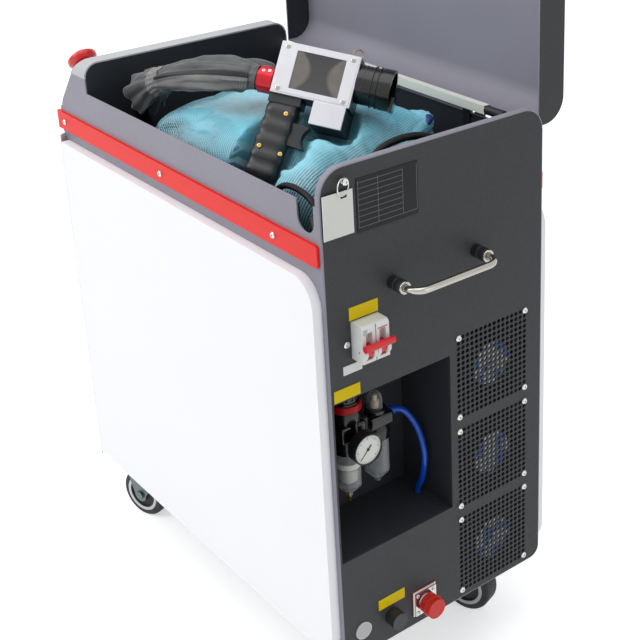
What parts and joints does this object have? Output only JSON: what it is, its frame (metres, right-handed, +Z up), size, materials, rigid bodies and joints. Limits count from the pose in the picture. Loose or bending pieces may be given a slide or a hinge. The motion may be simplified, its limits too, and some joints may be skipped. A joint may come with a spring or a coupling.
{
  "type": "laser cleaning machine",
  "caption": "Mobile laser cleaning machine: sheet-metal cabinet on swivel casters with an open lid over a tray that holds the hand-held gun, its hose and a soft bag; service panel at one end.",
  "frame": {"origin": "on the floor under the middle of the whole part's box, lid open", "axes": "+X along the cabinet towards the service panel, +Y across it towards the lid's hinges, +Z up"},
  "size_m": [0.662, 0.368, 1.006],
  "materials": {
    "panel_grey": "satin powder coat",
    "cabinet_grey": "satin powder coat",
    "cover_white": "satin powder coat",
    "trim_red": "satin powder coat",
    "tray_grey": "satin powder coat",
    "steel_bright": "polished",
    "steel_zinc": "zinc plated",
    "fan_black": "moulded",
    "breaker_grey": "moulded",
    "toggle_red": "moulded",
    "black_plastic": "moulded",
    "bowl_clear": "clear moulded plastic",
    "tube_blue": "extruded",
    "estop_red": "moulded",
    "socket_metal": "machined",
    "cap_red": "moulded",
    "plate_yellow": "printed foil",
    "tag_pale": "sheet",
    "wheel_black": "moulded tread",
    "gun_silver": "satin machined",
    "gun_display": "glossy",
    "lens_black": "black anodised",
    "clamp_red": "red anodised",
    "lamp_cream": "frosted",
    "sleeve_cloth": "woven nylon",
    "hose_black": "extruded",
    "bag_blue": "translucent film with a net",
    "laser_metal": "anodised",
    "board_green": "solder mask"
  },
  "bodies": {
    "cabinet": {"base_pan": "cabinet_grey", "side_plate_near": "cabinet_grey", "side_plate_far": "cabinet_grey", "service_panel": "panel_grey", "front_cover": "cover_white", "console_cover": "cover_white", "side_covers": "cover_white", "trim_bars": "trim_red", "panel_screws": "steel_bright", "tray": "tray_grey", "niche_box": "tray_grey", "fan_frames": "fan_black", "breaker_body": "breaker_grey", "din_rail": "steel_zinc", "pull_handle": "steel_bright", "frl_bracket": "steel_zinc", "air_unit": "black_plastic", "air_bowls": "bowl_clear", "gauge_case": "black_plastic", "air_tube": "tube_blue", "estop_base": "black_plastic", "panel_sockets": "socket_metal", "socket_caps": "cap_red", "blank_plates": "plate_yellow", "caster_plates": "steel_zinc", "lid_hinges": "steel_bright", "tray_lamp": "lamp_cream", "cable_sleeve": "sleeve_cloth", "umbilical_hose": "hose_black", "accessory_bag": "bag_blue", "laser_source": "laser_metal", "power_supply": "laser_metal", "control_board": "board_green", "cable_glands": "black_plastic"},
    "lid": {"lid": "panel_grey", "lid_leaves": "steel_bright"},
    "gun": {"gun_housing": "gun_silver", "gun_screen": "gun_display", "gun_handle": "black_plastic", "lens_tube": "lens_black", "hose_clamp": "clamp_red"},
    "trigger": {"gun_trigger": "black_plastic"},
    "toggle": {"breaker_toggle": "toggle_red"},
    "knob": {"regulator_knob": "black_plastic"},
    "needle": {"gauge_needle": "black_plastic"},
    "estop": {"estop_button": "estop_red"},
    "tag": {"hang_tag": "tag_pale"},
    "fan_1": {"fan_rotor_1": "fan_black"},
    "fan_2": {"fan_rotor_2": "fan_black"},
    "fan_3": {"fan_rotor_3": "fan_black"},
    "fork_1": {"caster_fork_1": "steel_zinc"},
    "wheel_1": {"caster_wheel_1": "wheel_black"},
    "fork_2": {"caster_fork_2": "steel_zinc"},
    "wheel_2": {"caster_wheel_2": "wheel_black"},
    "fork_3": {"caster_fork_3": "steel_zinc"},
    "wheel_3": {"caster_wheel_3": "wheel_black"},
    "fork_4": {"caster_fork_4": "steel_zinc"},
    "wheel_4": {"caster_wheel_4": "wheel_black"},
    "pedal_1": {"brake_pedal_1": "black_plastic"},
    "pedal_2": {"brake_pedal_2": "black_plastic"}
  },
  "joints": [
    {"name": "lid_hinge", "type": "hinge", "parent": "cabinet", "child": "lid", "pos_m": [0.019, 0.149, 0.685], "axis": [-1, 0, 0], "range_deg": [-90, 0]},
    {"name": "gun_stow", "type": "slide", "parent": "cabinet", "child": "gun", "axis": [0, 0, 1], "range_m": [-0.076, 0], "deforming": ["accessory_bag", "cable_sleeve"]},
    {"name": "gun_trigger_pull", "type": "slide", "parent": "gun", "child": "trigger", "axis": [-0.7771, -0.5749, 0.2562], "range_m": [0, 0.003], "stiffness_N_per_m": 400},
    {"name": "fan_1_spin", "type": "hinge", "parent": "cabinet", "child": "fan_1", "pos_m": [0.27, 0.0625, 0.1645], "axis": [1, 0, 0], "continuous": true},
    {"name": "fan_2_spin", "type": "hinge", "parent": "cabinet", "child": "fan_2", "pos_m": [0.27, 0.0625, 0.2895], "axis": [1, 0, 0], "continuous": true},
    {"name": "fan_3_spin", "type": "hinge", "parent": "cabinet", "child": "fan_3", "pos_m": [0.27, 0.0625, 0.4145], "axis": [1, 0, 0], "continuous": true},
    {"name": "breaker_switch", "type": "hinge", "parent": "cabinet", "child": "toggle", "pos_m": [0.298, -0.1223, 0.509], "axis": [0, 1, 0], "range_deg": [0, 55]},
    {"name": "regulator_turn", "type": "hinge", "parent": "cabinet", "child": "knob", "pos_m": [0.223, -0.11, 0.41], "axis": [0, 0, 1], "range_deg": [-360, 360]},
    {"name": "gauge_needle_turn", "type": "hinge", "parent": "cabinet", "child": "needle", "pos_m": [0.257, -0.11, 0.359], "axis": [-1, 0, 0], "range_deg": [0, 270], "stiffness_Nm_per_rad": 0.0002},
    {"name": "estop_press", "type": "slide", "parent": "cabinet", "child": "estop", "axis": [0.7584, 0, -0.6518], "range_m": [0, 0.004], "stiffness_N_per_m": 1500},
    {"name": "tag_swing", "type": "hinge", "parent": "cabinet", "child": "tag", "pos_m": [0.289, -0.1444, 0.7053], "axis": [1, 0, 0], "range_deg": [-20, 20]},
    {"name": "caster_1_swivel", "type": "hinge", "parent": "cabinet", "child": "fork_1", "pos_m": [-0.245, -0.127, 0.09], "axis": [0, 0, 1], "continuous": true},
    {"name": "wheel_1_spin", "type": "hinge", "parent": "fork_1", "child": "wheel_1", "pos_m": [-0.27163, -0.13565, 0.0375], "axis": [-0.309, 0.9511, 0], "continuous": true},
    {"name": "caster_2_swivel", "type": "hinge", "parent": "cabinet", "child": "fork_2", "pos_m": [-0.245, 0.098, 0.09], "axis": [0, 0, 1], "continuous": true},
    {"name": "wheel_2_spin", "type": "hinge", "parent": "fork_2", "child": "wheel_2", "pos_m": [-0.27163, 0.08935, 0.0375], "axis": [-0.309, 0.9511, 0], "continuous": true},
    {"name": "caster_3_swivel", "type": "hinge", "parent": "cabinet", "child": "fork_3", "pos_m": [0.233, -0.127, 0.09], "axis": [0, 0, 1], "continuous": true},
    {"name": "wheel_3_spin", "type": "hinge", "parent": "fork_3", "child": "wheel_3", "pos_m": [0.20637, -0.13565, 0.0375], "axis": [-0.309, 0.9511, 0], "continuous": true},
    {"name": "caster_4_swivel", "type": "hinge", "parent": "cabinet", "child": "fork_4", "pos_m": [0.233, 0.098, 0.09], "axis": [0, 0, 1], "continuous": true},
    {"name": "wheel_4_spin", "type": "hinge", "parent": "fork_4", "child": "wheel_4", "pos_m": [0.20637, 0.08935, 0.0375], "axis": [-0.309, 0.9511, 0], "continuous": true},
    {"name": "brake_1_press", "type": "hinge", "parent": "fork_1", "child": "pedal_1", "pos_m": [-0.28875, -0.14122, 0.0797], "axis": [0.309, -0.9511, 0], "range_deg": [0, 20]},
    {"name": "brake_2_press", "type": "hinge", "parent": "fork_2", "child": "pedal_2", "pos_m": [-0.28875, 0.08378, 0.0797], "axis": [0.309, -0.9511, 0], "range_deg": [0, 20]}
  ],
  "couplings": [
    {"joint": "gun_stow", "follows": "lid_hinge", "m_per_rad": 0.04838}
  ]
}
